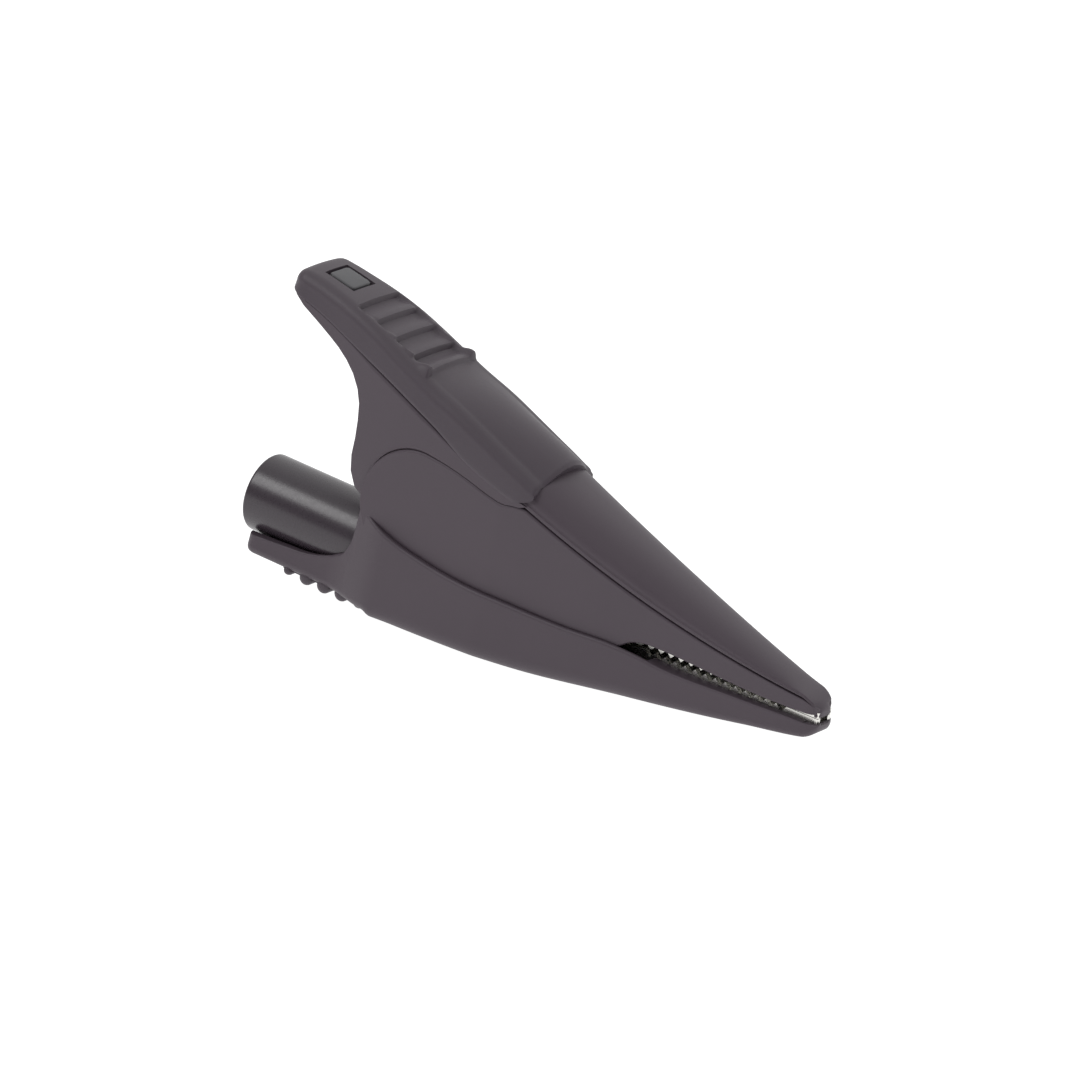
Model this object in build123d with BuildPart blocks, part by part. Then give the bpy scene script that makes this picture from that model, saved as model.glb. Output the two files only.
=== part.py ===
"""Insulated alligator clip that takes a shrouded 4 mm test lead plug.

Two hinged insulated halves carry pressed metal jaws. The lower half holds the
socket, the finger rest and the pivot pin; the upper half is squeezed by its
thumb lever. A torsion spring on the pin keeps the jaws shut.

The row frame has its origin at the centre of the socket's mouth, +X towards the
jaw tip and +Z up while the clip lies on its belly. The socket's axis dips
towards the tip by DIP, so sketches are drawn in the clip's own plane, whose first
axis runs along the socket and whose second axis points up through the lever.
"""

import os
from math import cos, radians, sin, sqrt

from build123d import *

os.makedirs("parts", exist_ok=True)

# --- Driving dimensions, in millimetres and degrees -------------------------
DIP = 7.0  # the socket's axis dips this much towards the jaw tip
LENGTH = 101.0  # where both halves' tapers end, along the socket's axis
PIVOT = (30.0, 10.0)  # the hinge pin, in the clip's plane
OPENING = 28.0  # how far the lever turns

SLEEVE_R = 6.0  # outside of the socket's tube
SLEEVE_BORE_R = 5.15  # takes the plug's rigid shroud
SLEEVE_LENGTH = 26.9
BULKHEAD = 26.0  # rear face of the wall the contact is screwed to
SLEEVE_END_WALL = 1.5
CORE_R = 3.5  # the insulated core that the shroud slides over
CORE_RECESS = 2.0  # how far the core sits back from the mouth
CORE_FLANGE = 2.5
CONTACT_R = 2.6
CONTACT_BORE_R = 2.0  # the 4 mm bore
CONTACT_RECESS = 3.0
CONTACT_BORE_LENGTH = 17.0
SCREW_R = 1.5  # the contact's fixing screw
SCREW_HEAD_R = 2.75
SCREW_HEAD = 1.8
SCREW_THREAD_LENGTH = 4.0

CHEEK_HALF = 7.8  # half width over the upper half's cheeks
CHEEK_WALL = 1.1
CHEEK_DISC_R = 9.7  # round shoulder of the cheeks, about the pivot
NEST_GAP = 0.2  # cheeks to the lower shell's walls
SHELL_WALL = 1.15
FLOOR = 1.25  # wall under the rear of the jaws
FRONT_FLOOR = 1.65  # height of the floor under their tip
TIP_HALF = 2.6  # half width at the jaw tip
TAPER_START = 44.0  # where both halves begin to narrow
FLANGE_HALF = 6.4  # half width of the finger rest
SADDLE_GAP = 0.35  # air between the socket's tube and the finger rest

SHEET = 0.8  # jaw metal
EAR_HALF = 4.2  # half width over the lower jaw
EAR_GAP = 0.2  # between the two jaws' ears
JAW_TIP_HALF = 1.7
BITE = 3.6  # height of the line where the jaws meet
TOOTH_PITCH = 1.7
TOOTH_DEPTH = 1.0
TOOTH_COUNT = 14
TOOTH_START = 70.0
BITE_GAP = 0.1  # air left between the closed jaws
PIN_R = 1.5
PIN_CLEARANCE = 0.05
PIN_HEAD_R = 2.3
WASHER_R = 2.7
WASHER = 0.3

WIRE_R = 0.55  # spring wire
COIL_R = 3.0  # to the wire's centre
COIL_TURNS = 4 + 130 / 360  # from the lower leg round to the upper one
COIL_PITCH = 1.15

PAD = 1.2  # thickness of the thumb pad
RIB_COUNT = 5
RIB_PITCH = 3.45
RIB_START = 12.0
WINDOW = 5.5  # the square opening in the thumb pad
INLAY = 4.5
GRIP_RIB_R = 0.9
GRIP_RIB_PITCH = 3.25
GRIP_RIB_START = 8.4


# --- The clip's planes -------------------------------------------------------
AHEAD = Vector(cos(radians(DIP)), 0, -sin(radians(DIP)))
UP = Vector(sin(radians(DIP)), 0, cos(radians(DIP)))
MOUTH = BULKHEAD - SLEEVE_LENGTH  # open end of the tube, which is at the frame's origin
SIDE = Plane(origin=AHEAD * -MOUTH, x_dir=AHEAD, z_dir=(0, -1, 0))
PLAN = Plane(origin=AHEAD * -MOUTH, x_dir=AHEAD, z_dir=UP)
ACROSS = Plane(origin=AHEAD * -MOUTH, x_dir=(0, 1, 0), z_dir=AHEAD)
TALL = 60.0  # taller than anything in the clip


def keep(part, name):
    """Labels a finished piece and writes its STEP file."""
    part.label = name
    export_step(part, f"parts/{name}.step")


# --- Shared outlines ---------------------------------------------------------
KNEE = (25.9, -7.9)  # rear end of the belly
LOWER_HALF = CHEEK_HALF + NEST_GAP + SHELL_WALL
TIP_INNER = TIP_HALF - 0.15  # the cheeks' room at the tip
CHEEK_TIP = TIP_HALF - 0.3
TIP_END = LENGTH - 1.1  # the jaw tips are rounded off short of where the tapers end
TIP_CORNER = 1.2
BELLY_CLIMB = 8.75  # from the knee to the end of the tapers
BELLY_BULGE = 1.65
JAW_END = LENGTH - 2.0
JAW_TAPER_START = 60.0
NOSE_START = 44.0
PAD_FRONT = 50.7  # the thumb pad's front edge at the middle
PAD_SWEEP = 2.2  # how far that edge runs back at the sides
FLANGE_END = 1.4
FLANGE_UNDER = -(SLEEVE_R + SADDLE_GAP + 1.1)
BULKHEAD_WALL = 1.6
JAW_START = BULKHEAD + BULKHEAD_WALL
NEST_END = 72.0  # the cheeks lie inside the lower shell up to here
TOP_LINE = [(1.4, 37.1), (3.4, 37.45), (8.0, 36.9), (12.4, 35.9), (16.7, 34.55), (21.2, 32.75), (25.4, 31.0)]
TOP_LINE += [(34.0, 27.95), (40.0, 25.6), (47.2, 23.2)]
BORDER_LINE = [(-1.0, 34.9), (8.0, 32.5), (18.3, 28.8), (28.9, 24.6), (36.3, 21.5), (45.2, 19.1), (53.0, 17.4)]
REAR_LINE = [(0.6, 35.3), (2.2, 33.6), (6.8, 31.3), (11.0, 29.2), (13.6, 27.3), (15.7, 24.8), (16.8, 21.8)]
REAR_LINE += [(17.1, 18.0), (16.9, 14.1), (17.4, 11.4), (19.2, 8.4)]


def belly(x):
    """Height of the belly, which bulges down a little between the knee and the tip."""
    share = (x - KNEE[0]) / (LENGTH - KNEE[0])
    return KNEE[1] + BELLY_CLIMB * share - BELLY_BULGE * 4 * share * (1 - share)


def taper(half, tip, x):
    """Half width at x of a plan that narrows from half to tip."""
    share = max(0.0, (x - TAPER_START) / (LENGTH - TAPER_START))
    return tip + (half - tip) * (1 - share) * (1 + share / 4)


def groove(x):
    """Height of the edge between the cheeks and the nose."""
    share = (x - 46) / (LENGTH - 46)
    return 18.6 - 21.4 * share + 8.4 * share**2


def crown(x):
    """Height of the nose's crown."""
    share = (x - NOSE_START) / (LENGTH - NOSE_START)
    return 24.75 - 19.1 * share - 2.0 * share * (1 - share)


def side_block(points):
    """A block right across the clip whose side view is a line of points."""
    with BuildPart() as block:
        with BuildSketch(SIDE):
            with BuildLine():
                Polyline(*points, close=True)
            make_face()
        extrude(amount=TALL, both=True)
    return block.part


def plan_block(points):
    """A tall block whose plan is a line of points and its mirror image."""
    with BuildPart() as block:
        with BuildSketch(PLAN):
            with BuildLine():
                Polyline((points[0][0], 0), *points, (points[-1][0], 0), close=True)
            make_face()
            mirror(about=Plane.XZ)
        extrude(amount=TALL, both=True)
    return block.part


def tapered_block(half, tip, rear=0, front=LENGTH):
    """A tall block whose plan is straight and then narrows to the tip in a curve."""
    stations = [TAPER_START + (front - TAPER_START) * share / 4 for share in range(1, 5)]
    with BuildPart() as block:
        with BuildSketch(PLAN):
            with BuildLine():
                Polyline((rear, 0), (rear, half), (TAPER_START, half))
                Spline((TAPER_START, half), *[(x, taper(half, tip, x)) for x in stations])
                Polyline((front, taper(half, tip, front)), (front, 0), (rear, 0))
            make_face()
            mirror(about=Plane.XZ)
        extrude(amount=TALL, both=True)
    return block.part


def pivot_rod(radius):
    """A long rod along the pivot, used to bore the jaws."""
    with BuildPart() as rod:
        with BuildSketch(SIDE):
            with Locations(PIVOT):
                Circle(radius)
        extrude(amount=TALL, both=True)
    return rod.part


# --- Socket: a glossy tube around an insulated core with the plated contact --
OPEN_END = ACROSS.offset(MOUTH)
with BuildPart() as socket_sleeve:
    with BuildSketch(OPEN_END):
        Circle(SLEEVE_R)
    extrude(amount=SLEEVE_LENGTH)
    fillet(socket_sleeve.edges().sort_by(Axis((0, 0, 0), AHEAD))[0], 0.5)
    with BuildSketch(OPEN_END):
        Circle(SLEEVE_BORE_R)
    extrude(amount=SLEEVE_LENGTH - SLEEVE_END_WALL, mode=Mode.SUBTRACT)
    with BuildSketch(OPEN_END):
        Circle(CONTACT_R)
    extrude(amount=SLEEVE_LENGTH, mode=Mode.SUBTRACT)
keep(socket_sleeve.part, "socket_sleeve")

CORE_END = SLEEVE_LENGTH - SLEEVE_END_WALL
with BuildPart() as socket_core:
    with BuildSketch(OPEN_END.offset(CORE_RECESS)):
        Circle(CORE_R)
    extrude(amount=CORE_END - CORE_RECESS)
    fillet(socket_core.edges().sort_by(Axis((0, 0, 0), AHEAD))[0], 0.4)
    with BuildSketch(OPEN_END.offset(CORE_END - CORE_FLANGE)):
        Circle(SLEEVE_BORE_R)
    extrude(amount=CORE_FLANGE)
    with BuildSketch(OPEN_END.offset(CONTACT_RECESS)):
        Circle(CONTACT_R)
    extrude(amount=CORE_END, mode=Mode.SUBTRACT)
    with BuildSketch(OPEN_END):
        Circle((CONTACT_BORE_R + CONTACT_R) / 2)
    extrude(amount=CORE_END, mode=Mode.SUBTRACT)
keep(socket_core.part, "socket_core")

with BuildPart() as socket_contact:
    with BuildSketch(OPEN_END.offset(CONTACT_RECESS)):
        Circle(CONTACT_R)
    extrude(amount=SLEEVE_LENGTH - CONTACT_RECESS)
    with BuildSketch(OPEN_END.offset(CONTACT_RECESS)):
        Circle(CONTACT_BORE_R)
    extrude(amount=CONTACT_BORE_LENGTH, mode=Mode.SUBTRACT)
    with BuildSketch(OPEN_END.offset(SLEEVE_LENGTH)):
        Circle(SCREW_R)
    extrude(amount=-SCREW_THREAD_LENGTH, mode=Mode.SUBTRACT)
keep(socket_contact.part, "socket_contact")

SCREW_SEAT = JAW_START + SHEET
with BuildPart() as contact_screw:
    with BuildSketch(ACROSS.offset(SCREW_SEAT)):
        Circle(SCREW_HEAD_R)
    extrude(amount=SCREW_HEAD)
    fillet(contact_screw.edges().sort_by(Axis((0, 0, 0), AHEAD))[-1], 0.6)
    with BuildSketch(ACROSS.offset(SCREW_SEAT + SCREW_HEAD)):
        for turn in (0, 90):
            Rectangle(2.8, 0.6, rotation=turn)
    extrude(amount=-0.9, mode=Mode.SUBTRACT)
    with BuildSketch(ACROSS.offset(SCREW_SEAT)):
        Circle(SCREW_R - 0.03)
    extrude(amount=-(SCREW_SEAT - BULKHEAD + SCREW_THREAD_LENGTH - 0.5))
keep(contact_screw.part, "contact_screw")

# --- Shared hollows and plans -------------------------------------------------
def floor(x, rise=0.0):
    """Point on the lower shell's inside floor, which is straight, or above it."""
    share = (x - JAW_START) / (JAW_END - JAW_START)
    return (x, (belly(JAW_START) + FLOOR) * (1 - share) + FRONT_FLOOR * share + rise)


nest_room = side_block([floor(JAW_START), floor(NEST_END), (NEST_END, TALL), (JAW_START, TALL)])
nest_plan = tapered_block(CHEEK_HALF + NEST_GAP, TIP_INNER)
slot_room = side_block([floor(NEST_END - 1), floor(JAW_END), (JAW_END, TALL), (NEST_END - 1, TALL)])
jaw_plan = plan_block([(10, EAR_HALF), (JAW_TAPER_START, EAR_HALF), (JAW_END, JAW_TIP_HALF)])
with BuildPart() as nest:  # room for the cheeks and the lower jaw
    add(nest_room)
    add(nest_plan, mode=Mode.INTERSECT)
with BuildPart() as jaw_slot:
    add(slot_room)
    add(jaw_plan, mode=Mode.INTERSECT)

IN = EAR_HALF - SHEET
TIP_IN = JAW_TIP_HALF - SHEET
lower_inner = plan_block([(15, IN), (JAW_TAPER_START, IN), (JAW_END + 1, TIP_IN)])
lower_room = side_block(
    [floor(SCREW_SEAT, SHEET), floor(JAW_END + 1, SHEET), (JAW_END + 1, TALL), (15, TALL), (15, 3.4)]
    + [(SCREW_SEAT, 3.4)]
)
with BuildPart() as lower_hollow:
    add(lower_room)
    add(lower_inner, mode=Mode.INTERSECT)

EAR_IN = EAR_HALF + EAR_GAP
tang, ears = [(10, 4.5), (20, 4.5)], [(26, EAR_IN + SHEET), (40, EAR_IN + SHEET)]
front = [(50, EAR_HALF), (JAW_TAPER_START, EAR_HALF), (JAW_END, JAW_TIP_HALF)]
upper_plan = plan_block(tang + ears + front)
upper_inner = plan_block([(x, half - SHEET) for x, half in tang + ears + front[:2]] + [(JAW_END + 1, TIP_IN)])
roof = [(JAW_END + 1, 3.7), (86, 5.3), (73, 7.7), (60, 11.4), (46, 15.3), (36, 17.3), (30, 19.5), (13, 29.6)]
upper_room = side_block(roof + [(8, 20), (20, -5), (JAW_END + 1, -5)])
with BuildPart() as upper_hollow:
    add(upper_room)
    add(upper_inner, mode=Mode.INTERSECT)

jaw_bore = pivot_rod(PIN_R)
ear_bore = pivot_rod(PIN_R + PIN_CLEARANCE)

# --- Lower shell: belly, finger rest and the collar round the hinge ----------
with BuildPart() as lower_shell:
    with BuildSketch(SIDE):
        with BuildLine():
            Polyline((FLANGE_END, FLANGE_UNDER), (FLANGE_END, -4.4), (12.0, -3.7), (13.5, -3.2))
            ThreePointArc((13.5, -3.2), (18.9, -0.5), (20.3, 4.5))
            Line((20.3, 4.5), (20.4, 8.0))
            ThreePointArc((20.4, 8.0), (28.0, 5.0), (38.0, 3.5))
            ThreePointArc((38.0, 3.5), (52.0, 3.1), (66.0, 3.4))
            Polyline((66.0, 3.4), (74.0, 2.7), (TIP_END - 0.9, 2.9))
            ThreePointArc((TIP_END - 0.9, 2.9), (TIP_END, 2.0), (TIP_END - 1.2, belly(TIP_END - 1.2)))
            Spline(*[(x, belly(x)) for x in (TIP_END - 1.2, 82, 66, 52, 38)], KNEE)
            Polyline(KNEE, (24.6, FLANGE_UNDER), (FLANGE_END, FLANGE_UNDER))
        make_face()
    extrude(amount=TALL, both=True)
    with BuildSketch(PLAN):
        with BuildLine():
            Polyline((FLANGE_END, 0), (FLANGE_END, FLANGE_HALF - 1.6))
            RadiusArc((FLANGE_END, FLANGE_HALF - 1.6), (FLANGE_END + 1.6, FLANGE_HALF), 1.6)
            Line((FLANGE_END + 1.6, FLANGE_HALF), (16.0, FLANGE_HALF))
            Spline((16.0, FLANGE_HALF), (20.5, 8.2), (26.0, LOWER_HALF), tangents=[(1, 0), (1, 0)])
            Line((26.0, LOWER_HALF), (TAPER_START, LOWER_HALF))
            bend = TIP_END - TIP_CORNER
            stations = [TAPER_START + (bend - TAPER_START) * share / 4 for share in range(1, 5)]
            outer = [(x, taper(LOWER_HALF, TIP_HALF, x)) for x in stations]
            Spline((TAPER_START, LOWER_HALF), *outer)
            RadiusArc(outer[-1], (TIP_END, outer[-1][1] - TIP_CORNER), TIP_CORNER)
            Polyline((TIP_END, outer[-1][1] - TIP_CORNER), (TIP_END, 0), (FLANGE_END, 0))
        make_face()
        mirror(about=Plane.XZ)
    extrude(amount=TALL, both=True, mode=Mode.INTERSECT)

    # the hinge's well, open upwards, leaves the tube's seat and the bulkhead
    with BuildSketch(SIDE):
        with Locations((BULKHEAD / 2 + JAW_START / 2, TALL / 2)):
            Rectangle(JAW_START - BULKHEAD + 16, TALL)
    extrude(amount=EAR_HALF + 2.2, both=True, mode=Mode.SUBTRACT)
    for side in (1, -1):
        with BuildSketch(SIDE.offset(side * (EAR_HALF + 2.2))):
            with Locations(PIVOT):
                Circle(CHEEK_DISC_R + 0.25)
        extrude(amount=side * (CHEEK_HALF + NEST_GAP - EAR_HALF - 2.2), mode=Mode.SUBTRACT)
        with BuildSketch(SIDE.offset(side * (EAR_HALF + 2.0))):
            with Locations(PIVOT):
                Circle(CHEEK_DISC_R + 1.9)
            with Locations((PIVOT[0], -TALL / 2 + 1.5)):
                Rectangle(TALL, TALL, mode=Mode.SUBTRACT)
        extrude(amount=side * (7.35 - EAR_HALF - 2.0), mode=Mode.SUBTRACT)
    with BuildSketch(SIDE):
        with BuildLine():
            top = PIVOT[1] - COIL_R - WIRE_R - 0.05
            Polyline((BULKHEAD, -1), (BULKHEAD, top), (JAW_START, top), (JAW_START, -1), close=True)
        make_face()
    extrude(amount=EAR_HALF - SHEET - 0.2, both=True)
    add(nest.part, mode=Mode.SUBTRACT)
    add(jaw_slot.part, mode=Mode.SUBTRACT)

    # the tube lies free over the finger rest and is seated in the collar
    with BuildSketch(ACROSS.offset(-1)):
        Circle(SLEEVE_R + SADDLE_GAP)
    extrude(amount=20, mode=Mode.SUBTRACT)
    with BuildSketch(ACROSS):
        Circle(SLEEVE_R)
    extrude(amount=BULKHEAD, mode=Mode.SUBTRACT)
    with BuildSketch(ACROSS):
        Circle(SCREW_R + 0.1)
    extrude(amount=JAW_START + 1, mode=Mode.SUBTRACT)
keep(lower_shell.part, "lower_shell")

with BuildPart() as finger_grip:
    with BuildSketch(SIDE):
        first, last = GRIP_RIB_START, GRIP_RIB_START + 4 * GRIP_RIB_PITCH
        with Locations(((first + last) / 2, FLANGE_UNDER - 0.2)):
            Rectangle(last - first + 2.2, 0.4)
        for rib in range(RIB_COUNT):
            with Locations((GRIP_RIB_START + rib * GRIP_RIB_PITCH, FLANGE_UNDER - 0.2)):
                Circle(GRIP_RIB_R)
        with Locations((0, FLANGE_UNDER + TALL / 2)):
            Rectangle(2 * TALL, TALL, mode=Mode.SUBTRACT)
    extrude(amount=FLANGE_HALF - 0.9, both=True)
keep(finger_grip.part, "finger_grip")

# --- Jaws: pressed channels whose ears turn on the pin ------------------------
with BuildPart() as lower_jaw:
    with BuildSketch(SIDE):
        with BuildLine():
            Polyline(floor(JAW_START), floor(JAW_END), (JAW_END, BITE - BITE_GAP / 2), (94, BITE - BITE_GAP / 2))
            Line((94, BITE - BITE_GAP / 2), (TOOTH_START, BITE - BITE_GAP / 2))
            Polyline((TOOTH_START, BITE - BITE_GAP / 2), (66, 3.0), (56, 2.4), (40, 1.6), (35.6, 5.0))
            Line((35.6, 5.0), (PIVOT[0] + 4.0, PIVOT[1]))
            RadiusArc((PIVOT[0] + 4.0, PIVOT[1]), (PIVOT[0] - 3.9, PIVOT[1] - 0.9), -4.0)
            Polyline((PIVOT[0] - 3.9, PIVOT[1] - 0.9), (JAW_START, 3.4), floor(JAW_START))
        make_face()
    extrude(amount=TALL, both=True)
    add(jaw_plan, mode=Mode.INTERSECT)
    add(lower_hollow.part, mode=Mode.SUBTRACT)
    for tooth in range(TOOTH_COUNT):
        with BuildSketch(SIDE):
            x, reach = TOOTH_START + (tooth + 0.5) * TOOTH_PITCH, 0.55 * TOOTH_PITCH
            Polygon((x - reach, BITE), (x, BITE - TOOTH_DEPTH), (x + reach, BITE), align=None)
        extrude(amount=TALL, both=True, mode=Mode.SUBTRACT)
    add(jaw_bore, mode=Mode.SUBTRACT)
    with BuildSketch(ACROSS):
        Circle(SCREW_R + 0.1)
    extrude(amount=SCREW_SEAT + 1, mode=Mode.SUBTRACT)
keep(lower_jaw.part, "lower_jaw")

with BuildPart() as upper_jaw:
    with BuildSketch(SIDE):
        with BuildLine():
            low = BITE + BITE_GAP / 2
            Polyline((JAW_END, low), (JAW_END, 4.5), (86, 6.1), (73, 8.5), (60, 12.2), (46, 16.2), (36, 18.2))
            Polyline((36, 18.2), (30, 20.4), (15, 29.3), (13.4, 27.2), (PIVOT[0] - 4.2, PIVOT[1] + 1.6))
            RadiusArc((PIVOT[0] - 4.2, PIVOT[1] + 1.6), (PIVOT[0] + 1.6, PIVOT[1] - 4.2), -4.5)
            Polyline((PIVOT[0] + 1.6, PIVOT[1] - 4.2), (50, 5.4), (66, 4.2), (TOOTH_START, low), (JAW_END, low))
        make_face()
    extrude(amount=TALL, both=True)
    add(upper_plan, mode=Mode.INTERSECT)
    add(upper_hollow.part, mode=Mode.SUBTRACT)
    for tooth in range(TOOTH_COUNT):
        with BuildSketch(SIDE):
            x, reach = TOOTH_START + tooth * TOOTH_PITCH, 0.55 * TOOTH_PITCH
            Polygon((x - reach, BITE), (x, BITE + TOOTH_DEPTH), (x + reach, BITE), align=None)
        extrude(amount=TALL, both=True, mode=Mode.SUBTRACT)
    add(ear_bore, mode=Mode.SUBTRACT)
keep(upper_jaw.part, "upper_jaw")

# --- Hinge: riveted pin, washers and the torsion spring ------------------------
WASHER_Y = EAR_HALF + EAR_GAP + SHEET + 0.1
with BuildPart() as pivot_pin:
    with BuildSketch(SIDE):
        with Locations(PIVOT):
            Circle(PIN_R)
    extrude(amount=WASHER_Y + WASHER + 0.1, both=True)
    for side in (1, -1):
        with BuildSketch(SIDE.offset(side * (WASHER_Y + WASHER))):
            with Locations(PIVOT):
                Circle(PIN_HEAD_R)
        extrude(amount=side * 0.6)
keep(pivot_pin.part, "pivot_pin")

with BuildPart() as pivot_washers:
    for side in (1, -1):
        with BuildSketch(SIDE.offset(side * WASHER_Y)):
            with Locations(PIVOT):
                Circle(WASHER_R)
                Circle(PIN_R, mode=Mode.SUBTRACT)
        extrude(amount=side * WASHER)
keep(pivot_washers.part, "pivot_washers")

coil_start = SIDE.from_local_coords((PIVOT[0], PIVOT[1], COIL_TURNS * COIL_PITCH / 2))
coil_plane = Plane(origin=coil_start, x_dir=-UP, z_dir=(0, 1, 0))
coil = Edge.make_helix(COIL_PITCH, COIL_TURNS * COIL_PITCH, COIL_R, lefthand=True).moved(coil_plane.location)
with BuildPart() as torsion_spring:
    with BuildLine() as wire:
        lower_leg = Line((coil @ 0) - (coil % 0) * 5.2, coil @ 0)
        add(coil)
        upper_leg = Line(coil @ 1, (coil @ 1) + (coil % 1) * 13.5)
    with BuildSketch(Plane(origin=lower_leg @ 0, z_dir=lower_leg % 0)):
        Circle(WIRE_R)
    sweep(path=wire.wires()[0], is_frenet=True)
keep(torsion_spring.part, "torsion_spring")

# --- Upper half: cheeks, lever with nose, thumb pad ----------------------------
cheek_inner = tapered_block(CHEEK_HALF - CHEEK_WALL, JAW_TIP_HALF)
cheek_plan = tapered_block(CHEEK_HALF, CHEEK_TIP)
with BuildPart() as cheek_hollow:
    with BuildSketch(SIDE):
        with BuildLine():
            Polyline((10, -5), (10, 30), (46, 30), (46, groove(46) - 1.2))
            Spline((46, groove(46) - 1.2), *[(x, groove(x) - 1.0) for x in (54, 62, 72, 84, JAW_END + 0.1)])
            Polyline((JAW_END + 0.1, groove(JAW_END + 0.1) - 1.0), (JAW_END + 0.1, -5), (10, -5))
        make_face()
    extrude(amount=TALL, both=True)
    add(cheek_inner, mode=Mode.INTERSECT)

with BuildPart() as cheek_shell:
    with BuildSketch(SIDE):
        with BuildLine():
            bottom, shoulder = (PIVOT[0], PIVOT[1] - CHEEK_DISC_R), (PIVOT[0], PIVOT[1] + CHEEK_DISC_R)
            ThreePointArc(bottom, (PIVOT[0] - CHEEK_DISC_R, PIVOT[1]), shoulder)
            Spline(shoulder, (38, 18.8), (46, groove(46)), tangents=[(1, 0), (1, -0.25)])
            Spline((46, groove(46)), *[(x, groove(x)) for x in (54, 62, 72, 84, LENGTH - 1.4)])
            Polyline((LENGTH - 1.4, groove(LENGTH - 1.4)), (LENGTH - 1.1, 4.2), (90, 4.0), (83, 4.4), (72, 5.1))
            Polyline((72, 5.1), (68, 4.5), (66, 2.2), (50, 0.5), (38, 0.8), bottom)
        make_face()
    extrude(amount=TALL, both=True)
    add(cheek_plan, mode=Mode.INTERSECT)
    add(cheek_hollow.part, mode=Mode.SUBTRACT)
keep(cheek_shell.part, "cheek_shell")


def lever_plan(inset=0.0):
    """Plan of the lever: rounded rear corners, slightly wider towards the hinge."""
    rear, corner = 0.4 + inset, max(2.5 - inset, 0.8)
    side = 6.05 - inset
    with BuildPart() as block:
        with BuildSketch(PLAN):
            with BuildLine():
                Line((rear, 0), (rear, side - corner))
                RadiusArc((rear, side - corner), (rear + corner, side), corner)
                Spline(
                    (rear + corner, side), (20.0, 7.35 - inset), (34.0, CHEEK_HALF - inset),
                    tangents=[(1, 0.08), (1, 0)],
                )
                Polyline((34.0, CHEEK_HALF - inset), (60.0, CHEEK_HALF - inset), (60.0, 0), (rear, 0))
            make_face()
            mirror(about=Plane.XZ)
        extrude(amount=TALL, both=True)
    return block.part


def arch(x):
    """Section through the nose: upright sides on the groove's level under half an ellipse."""
    half = taper(CHEEK_HALF, CHEEK_TIP, x)
    low, high = groove(x), crown(x)
    rise = low + 0.4 * (high - low)
    with BuildSketch(ACROSS.offset(x)) as section:
        with BuildLine():
            Polyline((0, low), (half, low), (half, rise))
            EllipticalCenterArc((0, rise), half, high - rise, arc_size=90)
            Line((0, high), (0, low))
        make_face()
        mirror(about=Plane.YZ)
    return section.sketch


def below(line, depth):
    """The same line, lower by depth."""
    return [(x, z - depth) for x, z in line]


lever_outline = lever_plan()
under_pad = side_block(below(TOP_LINE, PAD) + [(54, 19.4), (LENGTH, 10), (LENGTH, -5), (-5, -5), (-5, 36)])
core_outline = lever_plan(inset=1.0)
with BuildPart() as core:  # what the thumb pad is moulded over
    add(under_pad)
    add(core_outline, mode=Mode.INTERSECT)

with BuildPart() as pad_room:
    add(side_block(BORDER_LINE + [(53.0, TALL), (-1.0, TALL)]))
    with BuildSketch(PLAN):
        with BuildLine():
            edge = PAD_FRONT - PAD_SWEEP
            ThreePointArc((edge, -8.0), (PAD_FRONT, 0), (edge, 8.0))
            Polyline((edge, 8.0), (edge, 9.0), (-5.0, 9.0), (-5.0, -9.0), (edge, -9.0), (edge, -8.0))
        make_face()
    extrude(amount=TALL, both=True, mode=Mode.INTERSECT)

nose_end = LENGTH - 1.4
sections = [arch(x) for x in (46.0, 56.0, 67.0, 78.0, 89.0, nose_end)]
with BuildPart() as upper_body:  # lever and nose together, thumb pad included
    with BuildSketch(SIDE):
        with BuildLine():
            Spline(*TOP_LINE)
            Line(TOP_LINE[-1], (TOP_LINE[-1][0], groove(46)))
            Line((TOP_LINE[-1][0], groove(46)), (46.0, groove(46)))
            Spline((46, groove(46)), (38, 18.8), shoulder, tangents=[(-1, 0.25), (-1, 0)])
            tail = (PIVOT[0] - sqrt(CHEEK_DISC_R**2 - 1.5**2), PIVOT[1] - 1.5)
            slant = CHEEK_DISC_R * sqrt(0.5)
            ThreePointArc(shoulder, (PIVOT[0] - slant, PIVOT[1] + slant), tail)
            Line(tail, REAR_LINE[-1])
            Spline(*reversed(REAR_LINE[2:]))
            Polyline(*reversed(REAR_LINE[:3]), TOP_LINE[0])
        make_face()
    extrude(amount=TALL, both=True)
    add(lever_outline, mode=Mode.INTERSECT)
    crest = upper_body.edges().filter_by(lambda edge: (edge @ 0.5).Z > 18 and edge.length > 30)
    fillet(crest.sort_by(SortBy.LENGTH)[-2:], 2.0)
    loft(sections=sections)

upper_inset, lower_inset = lever_plan(inset=2.2), lever_plan(inset=1.15)
hollow_top = below(TOP_LINE[1:], PAD + 1.3)
with BuildPart() as lever_hollow:
    add(side_block(hollow_top + [(47.2, 5), (0, 5)]))
    add(upper_inset, mode=Mode.INTERSECT)
with BuildPart() as neck_hollow:
    add(side_block(below(BORDER_LINE[:-1], 1.2) + [(45.2, -5), (-1, -5)]))
    add(lower_inset, mode=Mode.INTERSECT)
with BuildPart() as tail_trim:  # the tail slips inside the collar when the jaws open
    add(side_block([(10, 0), (10, 11.5), (21, 11.5), (21, 0)]))
    add(plan_block([(0, 7.0), (40, 7.0)]), mode=Mode.SUBTRACT)
with BuildPart() as nose_hollow:
    stations = (50, 58, 66, 74, 82, 88)
    add(side_block([(x, crown(x) - 2.2) for x in stations] + [(x, groove(x) - 3) for x in reversed(stations)]))
    add(tapered_block(CHEEK_HALF - 2.8, 0.4), mode=Mode.INTERSECT)
with BuildPart() as pad_band:
    add(pad_room.part)
    add(core.part, mode=Mode.SUBTRACT)

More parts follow.
